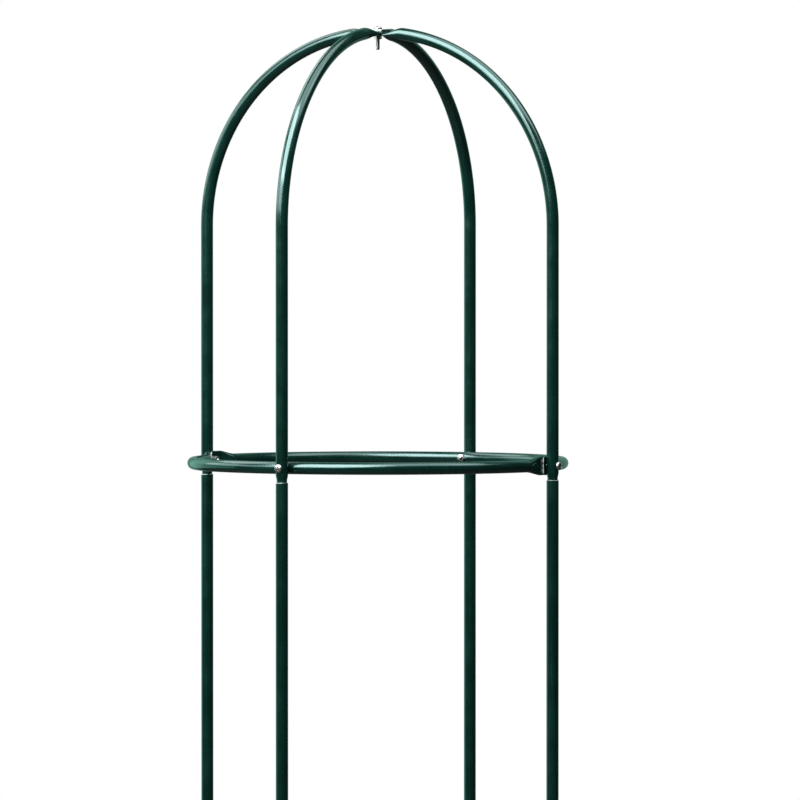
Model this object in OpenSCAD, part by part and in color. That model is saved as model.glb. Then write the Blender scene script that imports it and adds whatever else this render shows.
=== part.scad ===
// Garden obelisk: four tube legs that bend over into a dome, tied by three hoops.
// Millimetres, +Z up. The origin is on the ground, in the middle of the four feet.
// Each leg is three straight tubes and an arch tube, plugged into each other; the hoops are bolted inside.

/* [Frame] */
// Radius of the circle that the leg tubes' centres stand on
leg_ring_r = 194; // [160:1:240]
// Height of one tier, from one tube joint to the next
tier_h = 485; // [300:5:600]
// Number of tiers below the arches
tiers = 3; // [1:1:3]
// Height of the straight part of an arch tube, from its joint to where it starts to bend
arch_straight_h = 248; // [100:1:400]
// Distance from the axis to the centre of each arch's bend
bend_offset = 4; // [2:1:20]
// Height of a hoop's centre above the tube joint below it
hoop_above_joint = 14; // [13:0.5:30]

/* [Tube] */
// Outer diameter of all the tubes
tube_od = 12; // [10:0.5:14]
// Wall thickness of all the tubes
tube_wall = 0.8; // [0.6:0.1:1]

/* [Tube joints] */
// Diameter of the swaged end, which slides into the next tube
spigot_d = 10.2; // [9:0.1:10.2]
// Length of the swaged end inside the next tube
spigot_l = 30; // [15:1:50]
// Length of the swaged end left showing above the next tube's rim
neck_l = 2; // [0.5:0.5:3]
// Length of the taper from the swaged end up to the full tube
taper_l = 5.5; // [3:0.5:8]

/* [Flattened ends] */
// Distance from a flattened end's hole to its tip
tip_l = 7; // [5:0.5:9]
// Radius of the tip's corners
tip_corner_r = 3; // [1:0.5:4]
// Distance from the hole to where the flat starts to open into a tube
flat_l = 10; // [10:0.5:14]
// Distance from the hole to where the tube is fully round
round_l = 28; // [24:1:40]

/* [Screws] */
// Diameter of the screws' thread
screw_d = 4; // [3:0.5:4]
// Diameter of the holes they pass through
hole_d = 4.5; // [4.3:0.1:5]
// Diameter and height of their pan heads
head_d = 8; // [7:0.5:9]
head_h = 3.1; // [2.5:0.1:4]
// Length under the head of the screws through a leg and a round hoop tube
long_screw_l = 30; // [28:1:35]
// Length under the head of the screws through a leg and two flattened ends
short_screw_l = 20; // [19:1:25]
// Length under the head of the crown screw
crown_screw_l = 20; // [14:1:30]
// Size across the flats and height of the nuts
nut_flats = 7; // [6:0.5:8]
nut_h = 3.2; // [2.5:0.1:4]

/* [Feet] */
// Height of the part of a foot plug below the tube
plug_flange_h = 3; // [2:0.5:8]
// Height of the part of a foot plug inside the tube
plug_stem_h = 14; // [8:1:25]

/* [Hidden] */
$fn = 64;
tube_r = tube_od / 2;
bore_r = tube_r - tube_wall;
spigot_r = spigot_d / 2;
spigot_bore_r = spigot_r - tube_wall;
// Pressed flat, a tube is two walls thick and about half its round outline wide.
flat_t = 2 * tube_wall;
flat_w = PI * (tube_od - tube_wall) / 2 + tube_wall;
// The stretch pressed from round to flat reaches this far into the shapes that it joins,
// and stands this far inside their surfaces there.
overlap = 0.2;
skin = 0.1;
// Thickness of the hollow left between the walls where it ends.
slot_t = 0.2;
// Gap left where two round tubes cross and touch.
touch_gap = 0.02;
// Gap between the thread and the nut.
thread_gap = 0.05;
bend_r = leg_ring_r - bend_offset;
hoop_r = leg_ring_r - tube_od - touch_gap;
spring_z = tiers * tier_h + arch_straight_h;
crown_z = spring_z + bend_r;
// Where a bend meets its flattened end, and a half hoop meets its own.
arch_arc = acos((round_l - bend_offset) / bend_r);
hoop_arc = acos(round_l / hoop_r);
// The two layers of flattened ends against a leg's inner side.
outer_layer_r = leg_ring_r - tube_r - flat_t / 2;
inner_layer_r = outer_layer_r - flat_t;
recess_w = 1.1;
recess_l = 4.4;
recess_depth = 2;
plug_stem_r = bore_r - 0.05;
plug_chamfer = 0.8;

steel_green = "#16443a";
zinc = "#c3c6c9";
plug_black = "#1c1d1e";

// Each corner's name, its leg's direction and its arch's layer in the crown's stack.
CORNERS = [
    ["front_left", -135, 1],
    ["front_right", -45, 0],
    ["back_right", 45, 3],
    ["back_left", 135, 2]
];
// Each half hoop's name and the direction of its middle.
HALVES = [
    ["front", -135],
    ["back", 45]
];
// Each tier's straight tubes, from the ground up, and the hoop at each joint.
LEG_TIERS = [for (i = [0 : tiers - 1]) ["lower", "middle", "upper"][i]];
HOOP_TIERS = [for (i = [0 : tiers - 1]) ["bottom", "middle", "top"][i]];

function joint_z(tier) = (tier + 1) * tier_h;
function hoop_z(tier) = joint_z(tier) + hoop_above_joint;

// Puts its children at a corner, with the leg towards +X.
module at_corner(corner) {
    rotate([0, 0, corner[1]]) children();
}

// Turns its children from the XY plane up into the XZ plane, around an arch's bend centre.
module on_bend() {
    translate([bend_offset, 0, spring_z]) rotate([90, 0, 0]) children();
}

// A rod along X: the cutter for a hole, or part of a flattened edge.
module rod_x(r, x0, x1) {
    translate([x0, 0, 0]) rotate([0, 90, 0]) cylinder(r = r, h = x1 - x0);
}

// A flat bar's cross-section with round edges, as a slice from x0 to x1.
module flat_slice(width, thickness, x0, x1) {
    side = width / 2 - thickness / 2;
    translate([x0, -side, -thickness / 2]) cube([x1 - x0, 2 * side, thickness]);
    for (y = [-side, side]) translate([0, y, 0]) rod_x(thickness / 2, x0, x1);
}

// Where a pressed end's opening tube meets its flat.
module pressed_slice() {
    flat_slice(flat_w - 2 * skin, flat_t - 2 * skin, flat_l, flat_l + overlap, $fn = 32);
}

// The thin end of the hollow inside a pressed end, a little way into the opening tube.
module slot_slice() {
    slot_w = flat_w - 4 * tube_wall;
    translate([flat_l + 2 * overlap, -slot_w / 2, -slot_t / 2]) cube([overlap, slot_w, slot_t]);
}

// The drilled flat of a pressed end, along X: the hole is at the origin and the tip is towards -X.
module tongue() {
    straight = flat_w / 2 - tip_corner_r;
    difference() {
        intersection() {
            flat_slice(flat_w, flat_t, -tip_l, flat_l + overlap / 2);
            union() {
                translate([-tip_l + tip_corner_r, -flat_w, -flat_t])
                    cube([2 * flat_l, 2 * flat_w, 2 * flat_t]);
                translate([-tip_l, -straight, -flat_t]) cube([2 * tip_l, 2 * straight, 2 * flat_t]);
                for (y = [-straight, straight])
                    translate([-tip_l + tip_corner_r, y, -flat_t])
                        cylinder(r = tip_corner_r, h = 2 * flat_t);
            }
        }
        translate([0, 0, -flat_t]) cylinder(d = hole_d, h = 2 * flat_t);
    }
}

// The swaged lower end of a tube whose joint is at z = 0, as radii outside or inside the wall.
module swage(full_r, small_r) {
    translate([0, 0, -spigot_l]) cylinder(r = small_r, h = spigot_l + neck_l);
    translate([0, 0, neck_l]) cylinder(r1 = small_r, r2 = full_r, h = taper_l);
}

// A straight tube from z = 0 with a swaged lower end, where z = 0 is the next tube's rim.
module swaged_tube(height) {
    difference() {
        union() {
            swage(tube_r, spigot_r);
            translate([0, 0, neck_l + taper_l]) cylinder(r = tube_r, h = height - neck_l - taper_l);
        }
        swage(bore_r, spigot_bore_r);
        translate([0, 0, neck_l + taper_l]) cylinder(r = bore_r, h = height);
        translate([0, 0, -spigot_l - 1]) cylinder(r = spigot_bore_r, h = 2);
        translate([0, 0, hoop_above_joint]) rod_x(hole_d / 2, -tube_od, tube_od);
    }
}

// The round bend of an arch, from the top of the straight part to the start of the flattening.
module arch_bend(r) {
    on_bend() rotate_extrude(angle = arch_arc) translate([bend_r, 0]) circle(r = r);
}

// The stretch where an arch's tube of the given radius is pressed from round to its child's flat slice.
module arch_flattening(r, layer_z) {
    hull() {
        on_bend() rotate([0, 0, arch_arc]) translate([bend_r, -overlap, 0]) rotate([-90, 0, 0])
            cylinder(r = r - skin, h = overlap / 2, $fn = 32);
        translate([0, 0, layer_z]) children();
    }
}

// An arch tube: swaged joint, straight part, bend and drilled flat end, in its layer of the crown's stack.
module arch(corner) {
    layer_z = crown_z + (corner[2] - 1.5) * flat_t;
    color(steel_green) at_corner(corner) {
        translate([leg_ring_r, 0, joint_z(tiers - 1)]) swaged_tube(arch_straight_h);
        difference() {
            union() {
                arch_bend(tube_r);
                arch_flattening(tube_r, layer_z) pressed_slice();
            }
            arch_bend(bore_r);
            arch_flattening(bore_r, layer_z) slot_slice();
        }
        translate([0, 0, layer_z]) tongue();
    }
}

// A straight leg tube. The lowest one stands on its foot plug and has no swage.
module leg_tube(corner, tier) {
    color(steel_green) at_corner(corner) translate([leg_ring_r, 0, 0]) {
        if (tier == 0)
            translate([0, 0, plug_flange_h]) difference() {
                cylinder(r = tube_r, h = tier_h - plug_flange_h);
                translate([0, 0, -1]) cylinder(r = bore_r, h = tier_h);
            }
        else
            translate([0, 0, joint_z(tier - 1)]) swaged_tube(tier_h);
    }
}

// The round arc of a half hoop.
module hoop_bend(r) {
    rotate([0, 0, -hoop_arc]) rotate_extrude(angle = 2 * hoop_arc) translate([hoop_r, 0]) circle(r = r);
}

// The stretch where a half hoop's +Y end is pressed from round to its child's flat slice at layer_r.
module hoop_flattening(r, layer_r) {
    hull() {
        rotate([0, 0, hoop_arc]) translate([hoop_r, -overlap, 0]) rotate([-90, 0, 0])
            cylinder(r = r - skin, h = overlap / 2, $fn = 32);
        translate([0, layer_r, 0]) rotate([90, 0, 0]) children();
    }
}

// Both ends of a half hoop: the +Y end is in the inner layer and the -Y end in the outer one.
module hoop_ends(r) {
    hoop_flattening(r, inner_layer_r) children();
    mirror([0, 1, 0]) hoop_flattening(r, outer_layer_r) children();
}

// A half hoop, middle towards +X, drilled for a screw in its middle and in both flat ends.
module half_hoop(half, tier) {
    color(steel_green) translate([0, 0, hoop_z(tier)]) rotate([0, 0, half[1]]) {
        difference() {
            union() {
                hoop_bend(tube_r);
                hoop_ends(tube_r) pressed_slice();
            }
            hoop_bend(bore_r);
            hoop_ends(bore_r) slot_slice();
            rod_x(hole_d / 2, hoop_r - tube_od, hoop_r + tube_od);
        }
        translate([0, inner_layer_r, 0]) rotate([90, 0, 0]) tongue();
        mirror([0, 1, 0]) translate([0, outer_layer_r, 0]) rotate([90, 0, 0]) tongue();
    }
}

// A cross-recessed pan-head screw. The head stands on z = 0 and the thread points down.
module pan_screw(length) {
    dome_r = (head_d * head_d / 4 + head_h * head_h) / (2 * head_h) + 1;
    difference() {
        intersection() {
            cylinder(d = head_d, h = head_h);
            translate([0, 0, head_h - dome_r]) sphere(r = dome_r);
        }
        for (turn = [0, 90])
            rotate([0, 0, turn])
                translate([-recess_l / 2, -recess_w / 2, head_h - recess_depth])
                    cube([recess_l, recess_w, head_h]);
    }
    translate([0, 0, -length + screw_d / 4]) cylinder(d = screw_d, h = length - screw_d / 4);
    translate([0, 0, -length]) cylinder(d1 = screw_d / 2, d2 = screw_d, h = screw_d / 4);
}

// A hexagon nut standing on z = 0, with its corners chamfered.
module hex_nut() {
    corner_r = nut_flats / 2 / cos(30);
    cone_h = (corner_r - nut_flats / 2) * tan(30);
    difference() {
        intersection() {
            cylinder(r = corner_r, h = nut_h, $fn = 6);
            union() {
                cylinder(r1 = nut_flats / 2, r2 = corner_r, h = cone_h);
                translate([0, 0, cone_h]) cylinder(r = corner_r, h = nut_h - 2 * cone_h);
                translate([0, 0, nut_h - cone_h]) cylinder(r1 = corner_r, r2 = nut_flats / 2, h = cone_h);
            }
        }
        translate([0, 0, -1]) cylinder(d = screw_d + 2 * thread_gap, h = nut_h + 2);
    }
}

// Puts its children at a hoop, with their -Z along the screw, from radius r towards the axis.
module at_screw(direction, tier, r) {
    translate([0, 0, hoop_z(tier)]) rotate([0, 0, direction]) translate([r, 0, 0]) rotate([0, 90, 0]) children();
}

// The screws through a leg and the middle of each half hoop.
module long_screws(tier) {
    color(zinc) for (half = HALVES)
        at_screw(half[1], tier, leg_ring_r + tube_r) pan_screw(long_screw_l);
}

// The screws through a leg and the two half hoops' flattened ends.
module short_screws(tier) {
    color(zinc) for (half = HALVES)
        at_screw(half[1] + 90, tier, leg_ring_r + tube_r) pan_screw(short_screw_l);
}

// The four nuts inside a hoop: two on the round tube and two on the flattened ends.
module hoop_nuts(tier) {
    color(zinc) for (half = HALVES) {
        at_screw(half[1], tier, hoop_r - tube_r - nut_h) hex_nut();
        at_screw(half[1] + 90, tier, inner_layer_r - flat_t / 2 - nut_h) hex_nut();
    }
}

// A plastic foot plug: a round-edged base under the tube and a ribbed stem inside it.
module foot_plug(corner) {
    rib_w = 1.2;
    color(plug_black) at_corner(corner) translate([leg_ring_r, 0, 0]) {
        cylinder(r1 = tube_r - plug_chamfer, r2 = tube_r, h = plug_chamfer);
        translate([0, 0, plug_chamfer]) cylinder(r = tube_r, h = plug_flange_h - plug_chamfer);
        translate([0, 0, plug_flange_h]) cylinder(r = plug_stem_r - rib_w / 2, h = plug_stem_h);
        intersection() {
            translate([0, 0, plug_flange_h]) cylinder(r = plug_stem_r, h = plug_stem_h);
            for (turn = [0, 90])
                rotate([0, 0, turn])
                    translate([-tube_r, -rib_w / 2, plug_flange_h]) cube([tube_od, rib_w, plug_stem_h]);
        }
    }
}

// The screw that holds the four arches together at the crown, head up.
module crown_screw() {
    color(zinc) translate([0, 0, crown_z + 2 * flat_t]) pan_screw(crown_screw_l);
}

// Its nut, under the stack of flattened ends.
module crown_nut() {
    color(zinc) translate([0, 0, crown_z - 2 * flat_t - nut_h]) hex_nut();
}

for (c = CORNERS) {
    arch(c);
    foot_plug(c);
    for (tier = [0 : tiers - 1])
        leg_tube(c, tier);
}
for (tier = [0 : tiers - 1]) {
    for (h = HALVES)
        half_hoop(h, tier);
    long_screws(tier);
    short_screws(tier);
    hoop_nuts(tier);
}
crown_screw();
crown_nut();
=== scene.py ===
import math
import random

import bmesh
import bpy
from mathutils import Matrix, Vector


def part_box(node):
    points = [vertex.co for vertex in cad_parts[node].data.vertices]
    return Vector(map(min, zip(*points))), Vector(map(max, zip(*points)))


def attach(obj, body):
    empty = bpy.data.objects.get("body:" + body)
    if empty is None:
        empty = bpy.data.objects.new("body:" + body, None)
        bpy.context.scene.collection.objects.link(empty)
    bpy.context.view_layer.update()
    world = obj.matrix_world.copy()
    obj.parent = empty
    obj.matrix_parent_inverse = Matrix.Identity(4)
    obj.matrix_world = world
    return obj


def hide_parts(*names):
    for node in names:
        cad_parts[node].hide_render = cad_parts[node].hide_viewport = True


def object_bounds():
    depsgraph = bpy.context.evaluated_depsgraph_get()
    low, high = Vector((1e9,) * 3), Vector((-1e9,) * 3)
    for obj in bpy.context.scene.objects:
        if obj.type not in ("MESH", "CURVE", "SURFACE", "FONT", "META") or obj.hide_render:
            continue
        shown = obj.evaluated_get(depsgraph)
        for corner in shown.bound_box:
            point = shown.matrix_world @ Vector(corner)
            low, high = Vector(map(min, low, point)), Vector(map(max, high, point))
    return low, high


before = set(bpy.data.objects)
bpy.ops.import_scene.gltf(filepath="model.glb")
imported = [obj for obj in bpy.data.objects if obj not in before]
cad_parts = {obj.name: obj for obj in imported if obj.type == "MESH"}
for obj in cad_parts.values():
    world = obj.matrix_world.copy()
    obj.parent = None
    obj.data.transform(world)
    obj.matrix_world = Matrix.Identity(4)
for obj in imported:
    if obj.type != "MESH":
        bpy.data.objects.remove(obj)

# Garden obelisk: four coated tube legs that bend into a dome, with three bolted hoops inside them.
# Metres and degrees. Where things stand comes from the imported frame.

cad_low, cad_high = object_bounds()

MM = 0.001
CORNERS = {"front_left": -135, "front_right": -45, "back_right": 45, "back_left": 135}
CROWN_ORDER = ("front_right", "front_left", "back_left", "back_right")
HALVES = {"front": -135, "back": 45}
LEG_TIERS = ("lower", "middle", "upper")
HOOP_TIERS = ("bottom", "middle", "top")


def low(node):
    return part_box(node)[0]


def high(node):
    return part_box(node)[1]


def middle(node):
    return (low(node) + high(node)) / 2


# The frame's main lines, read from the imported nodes' boxes.
LEG_RING_R = middle("leg_lower_front_right").xy.length
TUBE_R = round((high("leg_lower_front_right").x - low("leg_lower_front_right").x) / 2, 4)
PLUG_TOP_Z = low("leg_lower_front_right").z
JOINT_Z = [high(f"leg_{tier}_front_right").z for tier in LEG_TIERS]
TIER_H = JOINT_Z[1] - JOINT_Z[0]
HOOP_Z = [middle(f"hoop_{tier}_back").z for tier in HOOP_TIERS]
SPIGOT_L = JOINT_Z[2] - low("arch_front_right").z
CROWN_NUT_TOP_Z = high("crown_nut").z
HOOP_ABOVE_JOINT = HOOP_Z[0] - JOINT_Z[0]

# Tube and coating.
WALL = 0.8 * MM
FLAT_T = 2 * WALL
SPIGOT_R = 5.1 * MM
NECK_L = 2 * MM
TAPER_L = 5.5 * MM
BEND_OFFSET = 4 * MM
TOUCH_GAP = 0.02 * MM
SLIT_T = 0.08 * MM
# How far from a tube's end the coating turns pale: chipped primer that is also a painted highlight along the
# rim.
CHIPPED_AND_HIGHLIT_L = 1.6 * MM
RIM_R = 0.18 * MM
RIM_STEPS = (0, 0.03 * MM, 0.09 * MM, RIM_R)
SPIGOT_STEPS = (5 * MM, 15 * MM, 25 * MM)

# Pressed ends, measured from their holes.
TIP_L = 7 * MM
TIP_CORNER_R = 3 * MM
FLAT_L = 10 * MM
ROUND_L = 28 * MM
FLAT_HALF_W = 9.2 * MM
PRESS_L = ROUND_L - FLAT_L
CORNER_STEPS = (0.35 * MM, 0.7 * MM, 1.2 * MM, 1.8 * MM, 2.4 * MM)
HOLE_R = 2.25 * MM
HOLE_MARGIN = 0.5 * MM

# Screws and nuts.
THREAD_R = 2 * MM
THREAD_PITCH = 0.7 * MM
THREAD_DEPTH = 0.4 * MM
THREAD_STEEPNESS = 1.35
THREAD_CREST_SHARE = 0.15
SCREW_TIP_R = 0.55 * THREAD_R
HEAD_R = 4 * MM
HEAD_H = 3.1 * MM
HEAD_SIDE_H = 1.2 * MM
LONG_SCREW_L = 30 * MM
SHORT_SCREW_L = 20 * MM
CROWN_SCREW_L = 20 * MM
CROWN_SCREW_TURN = 25
NUT_HALF_FLATS = 3.5 * MM
NUT_FACE_R = 0.97 * NUT_HALF_FLATS
NUT_CHAMFER_ANGLE = 30
NUT_H = 3.2 * MM
NUT_BORE_R = 2.05 * MM
NUT_SINK_R = NUT_BORE_R + 0.25 * MM
NUT_SINK_H = 0.3 * MM

CROWN_Z = CROWN_NUT_TOP_Z + 2 * FLAT_T
BEND_R = LEG_RING_R - BEND_OFFSET
SPRING_Z = CROWN_Z - BEND_R
HOOP_R = LEG_RING_R - 2 * TUBE_R - TOUCH_GAP
OUTER_LAYER_R = LEG_RING_R - TUBE_R - FLAT_T / 2
INNER_LAYER_R = OUTER_LAYER_R - FLAT_T

# Mesh cells round a tube, and from a hole's centre to the edge of the block of cells that it replaces.
AROUND = 64
HOLE_CELLS = 4

# Mesh cells round the turned pieces, and the steps between a tube's rings.
AROUND_SCREW = 48
AROUND_NUT = 72
AROUND_PLUG = 96
STRAIGHT_STEP = 20 * MM
BEND_STEP = 5 * MM
SWAGE_STEP = 0.5 * MM
PRESS_STEP = 0.9 * MM
FLAT_STEP = 1.5 * MM
SMOOTH_ANGLE = 38


def smooth(share):
    """Turns a share of the way into an eased one, held between 0 and 1."""
    share = min(max(share, 0.0), 1.0)
    return share * share * (3 - 2 * share)


def rounding(distance, radius):
    """How far a rounded edge of this radius stands back at a distance from its end."""
    if distance >= radius:
        return 0.0
    return radius - math.sqrt(max(radius * radius - (radius - distance) ** 2, 0.0))


def spread(start, end, step):
    """Even places from start to end, no further apart than step."""
    count = max(1, math.ceil(abs(end - start) / step - 1e-6))
    return [start + (end - start) * i / count for i in range(count + 1)]


def oval(share, half_w, half_t):
    """A point on an outline with straight sides and round ends, at a share of the way round it."""
    side = half_w - half_t
    half_outline = 2 * side + math.pi * half_t
    walked = (share % 1.0) * 2 * half_outline
    turn = 1
    if walked >= half_outline:
        turn = -1
        walked -= half_outline
    past_corner = walked - math.pi * half_t / 2
    if past_corner < 0:
        angle = walked / half_t
        return turn * (side + half_t * math.cos(angle)), turn * half_t * math.sin(angle)
    if past_corner < 2 * side:
        return turn * (side - past_corner), turn * half_t
    angle = math.pi / 2 + (past_corner - 2 * side) / half_t
    return turn * (-side + half_t * math.cos(angle)), turn * half_t * math.sin(angle)


# A section is (centre, width direction, thickness direction, half width, half thickness) of a tube there.

def wall_point(section, share, depth):
    """A point on a section's outside, or that depth into it."""
    centre, width_way, thickness_way, half_w, half_t = section
    depth = min(depth, half_t - SLIT_T / 2)
    w, t = oval(share, half_w - depth, half_t - depth)
    return centre + width_way * w + thickness_way * t


def hole_share(section, side_share, lateral, depth):
    """The share of the outline at a distance sideways from the middle of a section's face."""
    half_w, half_t = section[3], section[4]
    depth = min(depth, half_t - SLIT_T / 2)
    side = half_w - half_t
    if side > half_t:
        return side_share + lateral / (4 * side + 2 * math.pi * (half_t - depth))
    return side_share + math.asin(lateral / (half_t - depth)) / (2 * math.pi)


def block_edge():
    """The edge of a block of cells round a hole: each corner's cell steps and its angle round the hole."""
    n = HOLE_CELLS
    loop = []
    for k in range(8 * n):
        side, step = divmod(k, 2 * n)
        along, across = [(step - n, -n), (n, step - n), (n - step, n), (-n, n - step)][side]
        loop.append((along, across, math.radians(360 * k / (8 * n) - 135)))
    return loop


def stations_of(places, holes):
    """Ring places along a tube, each of them once, with a hole's own rings in place of those near it."""
    beside = HOLE_R + HOLE_MARGIN
    kept = [p for p in places if all(abs(p - hole) > beside for hole in holes)]
    for hole in holes:
        kept += [hole + HOLE_R * k / HOLE_CELLS for k in range(-HOLE_CELLS, HOLE_CELLS + 1)]
        kept += [hole - beside, hole + beside]
    return sorted(set(round(p, 8) for p in kept))


def tube_points(stations, section_at):
    """The points of a tube's outside, then its inside, their places on a straight tube and their edge wear,
    which also paints a pale rim highlight.
    """
    points, straight, wear_and_highlight = [], [], []
    outside = [(place, False) for place in stations]
    inside = [(place, True) for place in reversed(stations)]
    for place, is_inside in outside + inside:
        end_gap = min(place - stations[0], stations[-1] - place)
        depth = WALL if is_inside else rounding(end_gap, RIM_R)
        section = section_at(place)
        for column in range(AROUND):
            share = column / AROUND
            turn = 2 * math.pi * share
            points.append(wall_point(section, share, depth))
            straight.append((TUBE_R * math.cos(turn), TUBE_R * math.sin(turn), place))
            wear_and_highlight.append(1 - smooth(end_gap / CHIPPED_AND_HIGHLIT_L))
    return points, straight, wear_and_highlight


def hole_edge(count, at, side, is_inside):
    """The numbers of the points on the edge of the block round a hole, and their angles round the hole."""
    edge = []
    for along, across, angle in block_edge():
        row = 2 * count - 1 - (at + along) if is_inside else at + along
        edge.append((row * AROUND + side + across, angle))
    return edge


def hole_cells(count, at, side):
    """The cells of the outer and the inner wall in the block round a hole."""
    cells = set()
    for i in range(-HOLE_CELLS, HOLE_CELLS):
        for j in range(-HOLE_CELLS, HOLE_CELLS):
            cells.add((at + i, side + j))
            cells.add((2 * count - 2 - (at + i), side + j))
    return cells


def tube_mesh(name, section_at, places, holes):
    """A hollow tube along its sections, drilled through both walls at each hole's place."""
    stations = stations_of(places, holes)
    count = len(stations)
    points, straight, wear_and_highlight = tube_points(stations, section_at)
    cells = {(row, column) for row in range(2 * count) for column in range(AROUND)}
    bores = []
    # A hole goes in and out where the tube's thickness direction points.
    sides = (AROUND // 4, 3 * AROUND // 4)
    for hole in holes:
        at = min(range(count), key=lambda i: abs(stations[i] - hole))
        for side in sides:
            cells -= hole_cells(count, at, side)
            edges = []
            for is_inside, depth in ((False, 0.0), (True, WALL)):
                edge = hole_edge(count, at, side, is_inside)
                for index, angle in edge:
                    section = section_at(hole + HOLE_R * math.cos(angle))
                    share = hole_share(section, side / AROUND, HOLE_R * math.sin(angle), depth)
                    points[index] = wall_point(section, share, depth)
                    # A hole's edge is fully worn: pale chipped coating that is also a painted highlight.
                    wear_and_highlight[index] = 1.0
                edges.append([index for index, angle in edge])
            bores.append(edges)
    return shell_mesh(name, points, straight, wear_and_highlight, cells, bores)


def shell_mesh(name, points, straight, wear_and_highlight, cells, bores):
    """A mesh of rings of points, with faces in the cells and in the bores from outer to inner edge."""
    bm = bmesh.new()
    coat = bm.verts.layers.float_vector.new("coat")
    # Edge wear for each point. The coating turns it into pale chipped rims that are also a painted
    # highlight.
    worn_and_highlit = bm.verts.layers.float.new("wear_and_highlight")
    vertices = [bm.verts.new(p) for p in points]
    for vertex, place, amount in zip(vertices, straight, wear_and_highlight):
        vertex[coat] = place
        vertex[worn_and_highlit] = amount
    rows = len(points) // AROUND
    for row, column in sorted(cells):
        above = (row + 1) % rows
        beside = (column + 1) % AROUND
        corners = ((row, column), (row, beside), (above, beside), (above, column))
        bm.faces.new([vertices[r * AROUND + c] for r, c in corners])
    for outer, inner in bores:
        for k in range(len(outer)):
            after = (k + 1) % len(outer)
            bm.faces.new([vertices[i] for i in (outer[k], outer[after], inner[after], inner[k])])
    bmesh.ops.delete(bm, geom=[v for v in bm.verts if not v.link_faces], context="VERTS")
    return finished_mesh(name, bm)


def finished_mesh(name, bm):
    """A smooth-shaded mesh with its faces turned outwards and its crisp edges kept."""
    bmesh.ops.recalc_face_normals(bm, faces=bm.faces)
    for face in bm.faces:
        face.smooth = True
    mesh = bpy.data.meshes.new(name)
    bm.to_mesh(mesh)
    bm.free()
    mesh.set_sharp_from_angle(angle=math.radians(SMOOTH_ANGLE))
    return mesh


# ---- tubes ----

def swage_r(place):
    """A tube's radius by its distance above the joint: the small spigot, the taper and the full tube."""
    return SPIGOT_R + (TUBE_R - SPIGOT_R) * smooth((place - NECK_L) / TAPER_L)


def eased_curve(start, start_way, end, end_way, u):
    """A point on a smooth curve between two places and directions, and the direction there."""
    place = (
        start * (2 * u ** 3 - 3 * u ** 2 + 1) + start_way * (u ** 3 - 2 * u ** 2 + u)
        + end * (3 * u ** 2 - 2 * u ** 3) + end_way * (u ** 3 - u ** 2)
    )
    heading = (
        start * (6 * u ** 2 - 6 * u) + start_way * (3 * u ** 2 - 4 * u + 1)
        + end * (6 * u - 6 * u ** 2) + end_way * (3 * u ** 2 - 2 * u)
    )
    return place, heading.normalized()


def pressed_path(place, offset, bend_r, layer):
    """A bend that ends in a flat: its centre, outward direction, half width and half thickness.

    They are in the bend's plane, whose first axis points away from the hole. The place is a distance from
    the start of the bend.
    """
    arc = math.acos((ROUND_L - offset) / bend_r)
    pressing = (place - bend_r * arc) / PRESS_L
    if pressing <= 0:
        angle = place / bend_r
        way = Vector((math.cos(angle), math.sin(angle)))
        return Vector((offset, 0)) + bend_r * way, way, TUBE_R, TUBE_R
    if pressing >= 1:
        x = FLAT_L - PRESS_L * (pressing - 1)
        half_w = FLAT_HALF_W - rounding(x + TIP_L, TIP_CORNER_R)
        return Vector((x, layer)), Vector((0, 1)), half_w, FLAT_T / 2
    start = Vector((ROUND_L, bend_r * math.sin(arc)))
    start_way = Vector((-math.sin(arc), math.cos(arc))) * PRESS_L
    end = Vector((FLAT_L, layer))
    end_way = Vector((-PRESS_L, 0))
    centre, heading = eased_curve(start, start_way, end, end_way, pressing)
    half_t = TUBE_R + (FLAT_T / 2 - TUBE_R) * smooth(pressing)
    outline = 2 * math.pi * TUBE_R
    flat_outline = 4 * (FLAT_HALF_W - FLAT_T / 2) + math.pi * FLAT_T
    outline += (flat_outline - outline) * smooth(pressing)
    half_w = half_t + (outline - 2 * math.pi * half_t) / 4
    return centre, Vector((heading.y, -heading.x)), half_w, half_t


def pressed_length(offset, bend_r):
    """From the start of a bend to the hole in its pressed end."""
    return bend_r * math.acos((ROUND_L - offset) / bend_r) + PRESS_L + FLAT_L


def end_places(length):
    """Ring places of a bend and its pressed end, from the start of the bend."""
    flat = length - FLAT_L
    places = spread(0, flat - PRESS_L, BEND_STEP)
    places += spread(flat - PRESS_L, flat, PRESS_STEP)
    places += spread(flat, length + TIP_L - TIP_CORNER_R, FLAT_STEP)
    return places + [length + TIP_L - step for step in RIM_STEPS + CORNER_STEPS]


def swage_places():
    """Ring places of a swaged end, from the joint."""
    places = [-SPIGOT_L + step for step in RIM_STEPS + SPIGOT_STEPS]
    return places + [0.0] + spread(NECK_L, NECK_L + TAPER_L, SWAGE_STEP)


def arch_mesh(corner):
    """An arch tube at +X, from its joint to its tip: swage, straight part, bend and drilled flat end."""
    layer = CROWN_Z + (CROWN_ORDER.index(corner) - 1.5) * FLAT_T - SPRING_Z
    straight = SPRING_Z - JOINT_Z[2]
    hole = straight + pressed_length(BEND_OFFSET, BEND_R)

    def section_at(place):
        if place <= straight:
            r = swage_r(place)
            centre = Vector((LEG_RING_R, 0, JOINT_Z[2] + place))
            return centre, Vector((0, 1, 0)), Vector((1, 0, 0)), r, r
        centre, way, half_w, half_t = pressed_path(place - straight, BEND_OFFSET, BEND_R, layer)
        at = Vector((centre.x, 0, SPRING_Z + centre.y))
        return at, Vector((0, 1, 0)), Vector((way.x, 0, way.y)), half_w, half_t

    places = swage_places() + spread(NECK_L + TAPER_L, straight, STRAIGHT_STEP)
    places += [straight + place for place in end_places(hole - straight)]
    return tube_mesh(f"arch_{corner}", section_at, places, [HOOP_ABOVE_JOINT, hole])


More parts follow.
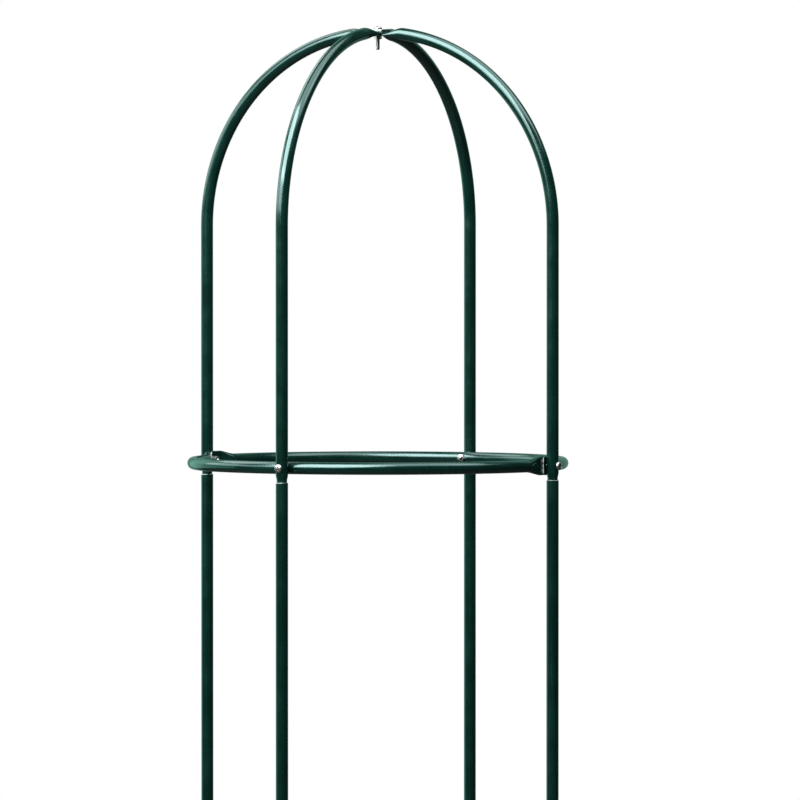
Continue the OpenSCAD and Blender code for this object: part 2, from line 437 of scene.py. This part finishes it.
def leg_mesh(swaged):
    """A straight leg tube at +X, up to one tier's height: swaged below z = 0, or plain for a foot plug."""

    def section_at(place):
        r = swage_r(place) if swaged else TUBE_R
        return Vector((LEG_RING_R, 0, place)), Vector((0, 1, 0)), Vector((1, 0, 0)), r, r

    near_top = TIER_H - 2 * MM
    top = [TIER_H - step for step in RIM_STEPS]
    if swaged:
        places = swage_places() + spread(NECK_L + TAPER_L, near_top, STRAIGHT_STEP) + top
        return tube_mesh("leg_swaged", section_at, places, [HOOP_ABOVE_JOINT])
    foot = [PLUG_TOP_Z + step for step in RIM_STEPS]
    places = foot + spread(PLUG_TOP_Z + 2 * MM, near_top, STRAIGHT_STEP) + top
    return tube_mesh("leg_plain", section_at, places, [])


def hoop_mesh():
    """A half hoop at z = 0 with its middle at +X and an end in each layer, inner and outer."""
    hole = pressed_length(0, HOOP_R)

    def section_at(place):
        side = 1 if place >= 0 else -1
        layer = INNER_LAYER_R if side > 0 else OUTER_LAYER_R
        centre, way, half_w, half_t = pressed_path(abs(place), 0, HOOP_R, layer)
        at = Vector((centre.x, side * centre.y, 0))
        return at, Vector((0, 0, 1)), Vector((way.x, side * way.y, 0)), half_w, half_t

    half = end_places(hole)
    places = [-place for place in half] + half
    return tube_mesh("half_hoop", section_at, places, [-hole, 0.0, hole])


# ---- turned pieces ----

def turned_mesh(name, rings, closed=False):
    """A mesh from rings of points, each joined to the next. The end rings are filled or joined together."""
    bm = bmesh.new()
    rows = [[bm.verts.new(p) for p in ring] for ring in rings]
    count = len(rows[0])
    pairs = list(zip(rows, rows[1:]))
    if closed:
        pairs.append((rows[-1], rows[0]))
    else:
        bm.faces.new(rows[0])
        bm.faces.new(rows[-1])
    for ring, above in pairs:
        for k in range(count):
            after = (k + 1) % count
            bm.faces.new([ring[k], ring[after], above[after], above[k]])
    return finished_mesh(name, bm)


def ring(z, radius_at, count):
    """Points round the Z axis, each as far out as radius_at says for its angle."""
    angles = [2 * math.pi * k / count for k in range(count)]
    return [Vector((radius_at(a) * math.cos(a), radius_at(a) * math.sin(a), z)) for a in angles]


def thread_r(angle, z, length):
    """The radius of a screw's thread at an angle and height, with its run-out under the head and its tip."""
    phase = (z / THREAD_PITCH - angle / (2 * math.pi)) % 1.0
    groove = smooth((1 - abs(2 * phase - 1)) * THREAD_STEEPNESS - THREAD_CREST_SHARE)
    runout = smooth(-z / THREAD_PITCH)
    tip = SCREW_TIP_R + (length + z)
    return min(THREAD_R - THREAD_DEPTH * groove * runout, tip)


def pan_screw_mesh(length):
    """A cross-recessed pan-head screw. The head stands on z = 0 and the thread points down."""
    count = AROUND_SCREW
    dome_rings = 14
    rings_per_turn = 8
    dome_h = HEAD_H - HEAD_SIDE_H
    fullness = 0.9
    rings = []
    for step in range(1, dome_rings + 1):
        angle = math.radians(90 * step / dome_rings)
        r, z = HEAD_R * math.sin(angle), HEAD_SIDE_H + dome_h * math.cos(angle) ** fullness
        rings.append(ring(z, lambda a, r=r: r, count))
    # The head's lower edge and underside, by radius and height in millimetres.
    for r, z in ((4.0, 0.25), (3.93, 0.08), (3.8, 0.0), (2.4, 0.0), (2.1, -0.05)):
        rings.append(ring(z * MM, lambda a, r=r: r * MM, count))
    thread_top = -0.1 * MM
    for z in spread(thread_top, -length, THREAD_PITCH / rings_per_turn):
        rings.append(ring(z, lambda a, z=z: thread_r(a, z, length), count))
    return cut(turned_mesh("pan_screw", rings), recess_cutter())


def recess_cutter():
    """The cross recess's two tapered wings and the pit where they meet."""
    bm = bmesh.new()
    top, bottom = HEAD_H + 0.5 * MM, HEAD_H - 2 * MM
    wing_top, wing_bottom = (2.55 * MM, 0.62 * MM), (0.9 * MM, 0.4 * MM)
    pit_top_r, pit_bottom_r = 1.45 * MM, 0.3 * MM
    for turn in (0, 90):
        turned = Matrix.Rotation(math.radians(turn), 3, "Z")
        corners = []
        for z, (half_l, half_w) in ((bottom, wing_bottom), (top, wing_top)):
            for x, y in ((-half_l, -half_w), (half_l, -half_w), (half_l, half_w), (-half_l, half_w)):
                corners.append(bm.verts.new(turned @ Vector((x, y, z))))
        for face in ((0, 1, 2, 3), (7, 6, 5, 4), (0, 4, 5, 1), (1, 5, 6, 2), (2, 6, 7, 3), (3, 7, 4, 0)):
            bm.faces.new([corners[k] for k in face])
    bmesh.ops.create_cone(
        bm, cap_ends=True, segments=24, radius1=pit_bottom_r, radius2=pit_top_r, depth=top - bottom,
        matrix=Matrix.Translation((0, 0, (top + bottom) / 2)),
    )
    return finished_mesh("recess", bm)


def cut(mesh, cutter):
    """The mesh with the cutter's shape taken out of it."""
    body = bpy.data.objects.new("cut_body", mesh)
    tool = bpy.data.objects.new("cut_tool", cutter)
    for thing in (body, tool):
        bpy.context.scene.collection.objects.link(thing)
    modifier = body.modifiers.new("cut", "BOOLEAN")
    modifier.object = tool
    modifier.solver = "EXACT"
    modifier.use_self = True
    bpy.context.view_layer.update()
    evaluated = body.evaluated_get(bpy.context.evaluated_depsgraph_get())
    made = bpy.data.meshes.new_from_object(evaluated)
    for thing in (body, tool):
        bpy.data.objects.remove(thing)
    made.set_sharp_from_angle(angle=math.radians(SMOOTH_ANGLE))
    return made


def nut_mesh():
    """A hexagon nut standing on z = 0, its corners chamfered at both faces and its bore countersunk."""
    count = AROUND_NUT
    slope = math.tan(math.radians(NUT_CHAMFER_ANGLE))

    def hex_r(angle):
        return NUT_HALF_FLATS / math.cos((angle + math.pi / 6) % (math.pi / 3) - math.pi / 6)

    def chamfer_ring(base, way):
        made = ring(base, hex_r, count)
        for point in made:
            point.z += way * (point.xy.length - NUT_FACE_R) * slope
        return made

    rings = [
        ring(0, lambda a: NUT_SINK_R, count),
        ring(0, lambda a: NUT_FACE_R, count),
        chamfer_ring(0, 1),
        chamfer_ring(NUT_H, -1),
        ring(NUT_H, lambda a: NUT_FACE_R, count),
        ring(NUT_H, lambda a: NUT_SINK_R, count),
        ring(NUT_H - NUT_SINK_H, lambda a: NUT_BORE_R, count),
        ring(NUT_SINK_H, lambda a: NUT_BORE_R, count),
    ]
    return turned_mesh("nut", rings, closed=True)


def foot_plug_mesh():
    """A moulded foot plug at +X: a round-edged base under the tube and a ribbed stem inside it."""
    count = AROUND_PLUG
    stem_r, rib_r = 4.55 * MM, 5.15 * MM
    rib_half_w, rib_fillet = 0.5 * MM, 0.25 * MM

    def stem(angle):
        across = abs(math.sin(2 * angle)) * rib_r / 2
        return rib_r - (rib_r - stem_r) * smooth((across - rib_half_w) / rib_fillet)

    # The base's outline from the middle of its underside, by radius and height in millimetres.
    underside = [(1.2, 0.35), (1.5, 0.1), (1.9, 0.0), (4.9, 0.0)]
    side = [(5.3, 0.06), (5.7, 0.26), (5.92, 0.6), (6.0, 1.0), (6.0, 2.7), (5.95, 2.9), (5.8, 3.0)]
    rings = [ring(z * MM, lambda a, r=r: r * MM, count) for r, z in underside + side]
    top = high("foot_plug_front_right").z
    rings += [ring(PLUG_TOP_Z + 0.01 * MM, stem, count), ring(top - 1.5 * MM, stem, count)]
    for r, z in ((4 * MM, top), (3 * MM, top - 0.2 * MM), (2.8 * MM, PLUG_TOP_Z + 1 * MM)):
        rings.append(ring(z, lambda a, r=r: r, count))
    mesh = turned_mesh("foot_plug", rings)
    mesh.transform(Matrix.Translation((LEG_RING_R, 0, 0)))
    return mesh


# ---- materials ----

def node_tree(name):
    """A new material, its node tree and its shader."""
    material = bpy.data.materials.new(name)
    material.use_nodes = True
    tree = material.node_tree
    shader = tree.nodes["Principled BSDF"]
    return material, tree, shader


def noise(tree, vector, scale, detail):
    """A noise texture's value at the coordinates."""
    node = tree.nodes.new("ShaderNodeTexNoise")
    node.inputs["Scale"].default_value = scale
    node.inputs["Detail"].default_value = detail
    tree.links.new(vector, node.inputs["Vector"])
    return node.outputs["Fac"]


def stretched(tree, vector, scale):
    """The coordinates scaled by different amounts along each axis."""
    node = tree.nodes.new("ShaderNodeMapping")
    node.inputs["Scale"].default_value = scale
    tree.links.new(vector, node.inputs["Vector"])
    return node.outputs["Vector"]


def remap(tree, value, given, wanted):
    """A value's given range turned into the wanted one, eased and held at both ends."""
    node = tree.nodes.new("ShaderNodeMapRange")
    node.interpolation_type = "SMOOTHSTEP"
    node.inputs["From Min"].default_value, node.inputs["From Max"].default_value = given
    node.inputs["To Min"].default_value, node.inputs["To Max"].default_value = wanted
    tree.links.new(value, node.inputs["Value"])
    return node.outputs["Result"]


def combine(tree, kind, first, second):
    """Two values, or a value and a number, through one sum."""
    node = tree.nodes.new("ShaderNodeMath")
    node.operation = kind
    for socket, item in zip(node.inputs, (first, second)):
        if isinstance(item, (int, float)):
            socket.default_value = item
        else:
            tree.links.new(item, socket)
    return node.outputs["Value"]


def tint(tree, amount, first, second):
    """A colour between two, by an amount."""
    node = tree.nodes.new("ShaderNodeMix")
    node.data_type = "RGBA"
    # The node's colour sockets share their names with its other ones, and so go by number.
    for socket, item in ((node.inputs[6], first), (node.inputs[7], second)):
        if isinstance(item, tuple):
            socket.default_value = (*item, 1)
        else:
            tree.links.new(item, socket)
    tree.links.new(amount, node.inputs[0])
    return node.outputs[2]


def bump(tree, height, distance, strength, below=None):
    """A bump of that distance, on top of another one."""
    node = tree.nodes.new("ShaderNodeBump")
    node.inputs["Distance"].default_value = distance
    node.inputs["Strength"].default_value = strength
    tree.links.new(height, node.inputs["Height"])
    if below is not None:
        tree.links.new(below, node.inputs["Normal"])
    return node.outputs["Normal"]


def attribute(tree, name, output="Vector"):
    """A value stored on the mesh's points."""
    node = tree.nodes.new("ShaderNodeAttribute")
    node.attribute_name = name
    return node.outputs[output]


# How far edge wear and unevenness together have to go for the coating to start to chip, and to be gone. The
# pale rims are worn primer and also a painted highlight along the cut ends.
CHIPS_AND_HIGHLIGHT_START = 1.38
CHIPS_AND_HIGHLIGHT_FULL = 1.50


def green_coating():
    """Glossy dark green coating: faint draw lines, orange peel, dull patches and chipped edges, whose pale
    primer is also a painted rim highlight.
    """
    material, tree, shader = node_tree("green_coating")
    place = tree.nodes.new("ShaderNodeTexCoord").outputs["Object"]
    along = attribute(tree, "coat")
    lines = noise(tree, stretched(tree, along, (900, 900, 12)), scale=1.0, detail=2.0)
    patches = noise(tree, place, scale=38, detail=3.0)
    peel = noise(tree, place, scale=620, detail=2.0)
    specks = noise(tree, place, scale=2600, detail=1.0)
    dark, mid, line_colour = (0.0007, 0.013, 0.009), (0.0013, 0.0195, 0.0138), (0.003, 0.034, 0.026)
    green = tint(tree, remap(tree, patches, (0.3, 0.7), (0, 1)), dark, mid)
    green = tint(tree, remap(tree, lines, (0.45, 0.75), (0, 0.35)), green, line_colour)
    uneven = combine(tree, "MULTIPLY", noise(tree, place, scale=150, detail=2.0), 0.9)
    uneven = combine(tree, "ADD", uneven, combine(tree, "MULTIPLY", specks, 0.25))
    # Chipped rims, which are also a painted highlight along the cut ends and hole edges.
    chips_and_highlight = combine(tree, "ADD", attribute(tree, "wear_and_highlight", "Fac"), uneven)
    chips_and_highlight = remap(tree, chips_and_highlight, (CHIPS_AND_HIGHLIGHT_START, CHIPS_AND_HIGHLIGHT_FULL), (0, 1))
    # Pale primer colour of the chips, which is also a painted rim highlight.
    bare_primer_and_highlight = (0.46, 0.50, 0.48)
    green = tint(tree, chips_and_highlight, green, bare_primer_and_highlight)
    tree.links.new(green, shader.inputs["Base Color"])
    dull = remap(tree, patches, (0.35, 0.7), (0.15, 0.22))
    dull = combine(tree, "ADD", dull, remap(tree, lines, (0.3, 0.8), (0, 0.05)))
    dull = combine(tree, "ADD", dull, combine(tree, "MULTIPLY", chips_and_highlight, 0.2))
    tree.links.new(dull, shader.inputs["Roughness"])
    normal = bump(tree, lines, distance=0.03 * MM, strength=0.35)
    normal = bump(tree, peel, distance=0.05 * MM, strength=0.15, below=normal)
    tree.links.new(normal, shader.inputs["Normal"])
    shader.inputs["IOR"].default_value = 1.75
    shader.inputs["Specular Tint"].default_value = (0.62, 1.0, 0.98, 1)
    shader.inputs["Coat Weight"].default_value = 0.25
    shader.inputs["Coat Roughness"].default_value = 0.08
    return material


def zinc_plating():
    """Bright zinc plate: a pale metal with cloudy passivation, fine grain and rougher spots."""
    material, tree, shader = node_tree("zinc_plating")
    place = tree.nodes.new("ShaderNodeTexCoord").outputs["Object"]
    clouds = noise(tree, place, scale=260, detail=3.0)
    grain = noise(tree, place, scale=2400, detail=2.0)
    bluish, yellowish, grain_colour = (0.50, 0.52, 0.54), (0.66, 0.65, 0.61), (0.42, 0.43, 0.43)
    metal = tint(tree, remap(tree, clouds, (0.3, 0.7), (0, 1)), bluish, yellowish)
    metal = tint(tree, remap(tree, grain, (0.55, 0.75), (0, 0.4)), metal, grain_colour)
    tree.links.new(metal, shader.inputs["Base Color"])
    tree.links.new(remap(tree, clouds, (0.3, 0.7), (0.2, 0.38)), shader.inputs["Roughness"])
    tree.links.new(bump(tree, grain, distance=0.02 * MM, strength=0.4), shader.inputs["Normal"])
    shader.inputs["Metallic"].default_value = 1.0
    return material


def black_plastic():
    """Moulded black plastic with a fine grain, scuffed and dusty near the ground."""
    material, tree, shader = node_tree("black_plastic")
    place = tree.nodes.new("ShaderNodeTexCoord").outputs["Object"]
    grain = noise(tree, place, scale=2200, detail=2.0)
    scuffs = noise(tree, stretched(tree, place, (1, 1, 6)), scale=420, detail=4.0)
    split = tree.nodes.new("ShaderNodeSeparateXYZ")
    tree.links.new(place, split.inputs["Vector"])
    ground = remap(tree, split.outputs["Z"], (0, 2.5 * MM), (1, 0.15))
    dust = combine(tree, "MULTIPLY", ground, remap(tree, scuffs, (0.45, 0.7), (0, 0.8)))
    black, dust_colour = (0.012, 0.0125, 0.013), (0.16, 0.14, 0.11)
    colour = tint(tree, dust, black, dust_colour)
    tree.links.new(colour, shader.inputs["Base Color"])
    tree.links.new(remap(tree, scuffs, (0.3, 0.7), (0.42, 0.62)), shader.inputs["Roughness"])
    tree.links.new(bump(tree, grain, distance=0.05 * MM, strength=0.5), shader.inputs["Normal"])
    return material


FINISHES = {
    "green_coating": green_coating(),
    "zinc_plating": zinc_plating(),
    "black_plastic": black_plastic(),
}


# ---- pieces ----

def add_piece(name, mesh, matrices, slot, node):
    """One object from copies of a mesh, riding on the frame in place of its CAD node."""
    bm = bmesh.new()
    for matrix in matrices:
        copy = mesh.copy()
        copy.transform(matrix)
        bm.from_mesh(copy)
        bpy.data.meshes.remove(copy)
    made = bpy.data.meshes.new(name)
    bm.to_mesh(made)
    bm.free()
    made.materials.clear()
    made.materials.append(FINISHES[slot])
    piece = bpy.data.objects.new(name, made)
    bpy.context.scene.collection.objects.link(piece)
    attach(piece, "root")
    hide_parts(node)


def turned_to(direction, height=0.0):
    """From a mesh at +X to a corner's direction and a height."""
    return Matrix.Rotation(math.radians(direction), 4, "Z") @ Matrix.Translation((0, 0, height))


def screw_matrix(direction, height, radius, spin):
    """Puts a screw or nut at a radius, its +Z pointing away from the axis, turned about itself by spin."""
    lie = Matrix.Translation((radius, 0, 0)) @ Matrix.Rotation(math.radians(90), 4, "Y")
    return turned_to(direction, height) @ lie @ Matrix.Rotation(spin, 4, "Z")


def add_tubes():
    """Every leg tube, arch tube and half hoop."""
    swaged, plain = leg_mesh(True), leg_mesh(False)
    for corner, direction in CORNERS.items():
        arch = arch_mesh(corner)
        add_piece(f"arch_tube_{corner}", arch, [turned_to(direction)], "green_coating", f"arch_{corner}")
        for tier, name in enumerate(LEG_TIERS):
            mesh = swaged if tier else plain
            height = JOINT_Z[tier - 1] if tier else 0.0
            add_piece(
                f"leg_tube_{name}_{corner}", mesh, [turned_to(direction, height)], "green_coating",
                f"leg_{name}_{corner}",
            )
    hoop = hoop_mesh()
    for tier, name in enumerate(HOOP_TIERS):
        for half, direction in HALVES.items():
            add_piece(
                f"half_hoop_{name}_{half}", hoop, [turned_to(direction, HOOP_Z[tier])], "green_coating",
                f"hoop_{name}_{half}",
            )


TIGHTENING_SEED = 11


def add_fasteners():
    """The screws and nuts of each hoop and of the crown, each turned as it happened to be tightened."""
    chance = random.Random(TIGHTENING_SEED)

    def spin():
        return chance.uniform(0, 2 * math.pi)

    long_screw, short_screw = pan_screw_mesh(LONG_SCREW_L), pan_screw_mesh(SHORT_SCREW_L)
    nut = nut_mesh()
    head_r = LEG_RING_R + TUBE_R
    long_nut_r = HOOP_R - TUBE_R - NUT_H
    short_nut_r = INNER_LAYER_R - FLAT_T / 2 - NUT_H
    for tier, name in enumerate(HOOP_TIERS):
        z = HOOP_Z[tier]
        long_ones = [screw_matrix(way, z, head_r, spin()) for way in HALVES.values()]
        short_ones = [screw_matrix(way + 90, z, head_r, spin()) for way in HALVES.values()]
        nuts = [screw_matrix(way, z, long_nut_r, spin()) for way in HALVES.values()]
        nuts += [screw_matrix(way + 90, z, short_nut_r, spin()) for way in HALVES.values()]
        add_piece(
            f"hoop_screws_long_{name}", long_screw, long_ones, "zinc_plating",
            f"long_screws_{name}_hoop",
        )
        add_piece(
            f"hoop_screws_short_{name}", short_screw, short_ones, "zinc_plating",
            f"short_screws_{name}_hoop",
        )
        add_piece(f"hoop_nuts_{name}", nut, nuts, "zinc_plating", f"nuts_{name}_hoop")
    spin_of_crown = Matrix.Rotation(math.radians(CROWN_SCREW_TURN), 4, "Z")
    head = Matrix.Translation((0, 0, CROWN_Z + 2 * FLAT_T)) @ spin_of_crown
    add_piece("crown_bolt", pan_screw_mesh(CROWN_SCREW_L), [head], "zinc_plating", "crown_screw")
    under = Matrix.Translation((0, 0, CROWN_NUT_TOP_Z - NUT_H)) @ spin_of_crown
    add_piece("crown_bolt_nut", nut, [under], "zinc_plating", "crown_nut")


def add_feet():
    """A foot plug under each leg."""
    plug = foot_plug_mesh()
    for corner, direction in CORNERS.items():
        add_piece(f"foot_{corner}", plug, [turned_to(direction)], "black_plastic", f"foot_plug_{corner}")


# ---- stage ----

FLOOR_R = 3.0
FLOOR_FADE_START_R = 0.5
FLOOR_FADE_END_R = 0.95 * FLOOR_R
FLOOR_SHOWN = (0.63, 0.6, 0.61)
FLOOR_REFLECTED = (0.06, 0.06, 0.06)


def add_floor():
    """A pale disc that fades into the white backdrop, and that sends little light back up at the obelisk."""
    bm = bmesh.new()
    bmesh.ops.create_circle(bm, cap_ends=True, segments=128, radius=FLOOR_R)
    mesh = bpy.data.meshes.new("floor")
    bm.to_mesh(mesh)
    bm.free()
    floor = bpy.data.objects.new("floor", mesh)
    floor.location.z = cad_low.z
    bpy.context.scene.collection.objects.link(floor)
    material, tree, shader = node_tree("pale_floor")
    shown = tree.nodes.new("ShaderNodeLightPath").outputs["Is Camera Ray"]
    tree.links.new(tint(tree, shown, FLOOR_REFLECTED, FLOOR_SHOWN), shader.inputs["Base Color"])
    shader.inputs["Roughness"].default_value = 0.9
    place = tree.nodes.new("ShaderNodeTexCoord").outputs["Object"]
    outwards = tree.nodes.new("ShaderNodeVectorMath")
    outwards.operation = "LENGTH"
    tree.links.new(place, outwards.inputs[0])
    fade = remap(tree, outwards.outputs["Value"], (FLOOR_FADE_START_R, FLOOR_FADE_END_R), (0, 1))
    white = tree.nodes.new("ShaderNodeEmission")
    mix = tree.nodes.new("ShaderNodeMixShader")
    tree.links.new(combine(tree, "MULTIPLY", fade, shown), mix.inputs[0])
    tree.links.new(shader.outputs["BSDF"], mix.inputs[1])
    tree.links.new(white.outputs["Emission"], mix.inputs[2])
    tree.links.new(mix.outputs["Shader"], tree.nodes["Material Output"].inputs["Surface"])
    mesh.materials.append(material)


WHITE = (1.0, 1.0, 1.0)
FOLIAGE = (0.45, 1.0, 0.8)
# Each soft light: azimuth from the camera's, elevation, distance, width and height, radiance, colour.
SOFTBOXES = (
    ("key_light", -38, 48, 2.4, (2.5, 1.7), 9.5, WHITE),
    ("low_light", -46, 24, 2.4, (2.2, 0.9), 4.5, WHITE),
    ("left_light", -100, 20, 2.4, (2.4, 0.8), 2.0, WHITE),
    ("rear_left_light", -130, 46, 2.4, (1.6, 1.0), 2.6, WHITE),
    ("top_light", 40, 74, 1.9, (2.2, 1.8), 2.4, WHITE),
    ("right_light", 72, 50, 2.4, (1.2, 1.0), 1.3, WHITE),
    ("back_light", 180, 15, 3.0, (7.0, 4.0), 0.32, FOLIAGE),
    ("left_fill_light", -125, 5, 2.6, (3.0, 2.4), 0.55, FOLIAGE),
)


def add_light(name, azimuth, elevation, distance, size, radiance, colour):
    """A large soft light, unseen by the camera and aimed at the middle of the top hoop."""
    data = bpy.data.lights.new(name, "AREA")
    data.shape = "RECTANGLE"
    data.size, data.size_y = size
    data.energy = radiance * math.pi * size[0] * size[1]
    data.color = colour
    lamp = bpy.data.objects.new(name, data)
    lamp.visible_camera = False
    a, e = math.radians(azimuth), math.radians(elevation)
    way = Vector((math.sin(a) * math.cos(e), -math.cos(a) * math.cos(e), math.sin(e)))
    lamp.location = Vector((0, 0, HOOP_Z[2])) + way * distance
    lamp.rotation_mode = "QUATERNION"
    lamp.rotation_quaternion = way.to_track_quat("Z", "Y")
    bpy.context.scene.collection.objects.link(lamp)


WORLD_LIGHT = 0.03


def add_world():
    """A white backdrop for the camera, and a dimmer even light for the object."""
    world = bpy.data.worlds.new("studio")
    bpy.context.scene.world = world
    world.use_nodes = True
    tree = world.node_tree
    tree.nodes.clear()
    shown = tree.nodes.new("ShaderNodeBackground")
    shown.inputs["Color"].default_value = (1, 1, 1, 1)
    lit = tree.nodes.new("ShaderNodeBackground")
    lit.inputs["Color"].default_value = (0.95, 0.98, 1, 1)
    lit.inputs["Strength"].default_value = WORLD_LIGHT
    mix = tree.nodes.new("ShaderNodeMixShader")
    path = tree.nodes.new("ShaderNodeLightPath")
    out = tree.nodes.new("ShaderNodeOutputWorld")
    tree.links.new(path.outputs["Is Camera Ray"], mix.inputs[0])
    tree.links.new(lit.outputs[0], mix.inputs[1])
    tree.links.new(shown.outputs[0], mix.inputs[2])
    tree.links.new(mix.outputs[0], out.inputs["Surface"])


CAMERA_AZIMUTH = -16.6
CAMERA_DISTANCE = 8.0
CAMERA_ABOVE_HOOP = 0.25
CAMERA_LENS_MM = 365
AIM_RIGHT = 21.8 * MM
AIM_ABOVE_HOOP = 62 * MM


def add_camera():
    """A long lens at the height of the dome, looking a little down to just above the top hoop."""
    a = math.radians(CAMERA_AZIMUTH)
    right = Vector((math.cos(a), math.sin(a), 0))
    back = Vector((math.sin(a), -math.cos(a), 0))
    aim = right * AIM_RIGHT + Vector((0, 0, HOOP_Z[2] + AIM_ABOVE_HOOP))
    data = bpy.data.cameras.new("camera")
    data.lens = CAMERA_LENS_MM
    data.sensor_width = 36
    data.clip_end = 200
    camera = bpy.data.objects.new("camera", data)
    camera.location = right * AIM_RIGHT + back * CAMERA_DISTANCE
    camera.location.z = HOOP_Z[2] + CAMERA_ABOVE_HOOP
    camera.rotation_mode = "QUATERNION"
    camera.rotation_quaternion = (camera.location - aim).to_track_quat("Z", "Y")
    bpy.context.scene.collection.objects.link(camera)
    bpy.context.scene.camera = camera


bpy.context.scene.view_settings.view_transform = "Standard"
add_camera()
add_world()
for name, around, elevation, distance, size, radiance, colour in SOFTBOXES:
    add_light(name, CAMERA_AZIMUTH + around, elevation, distance, size, radiance, colour)
add_floor()
add_tubes()
add_fasteners()
add_feet()
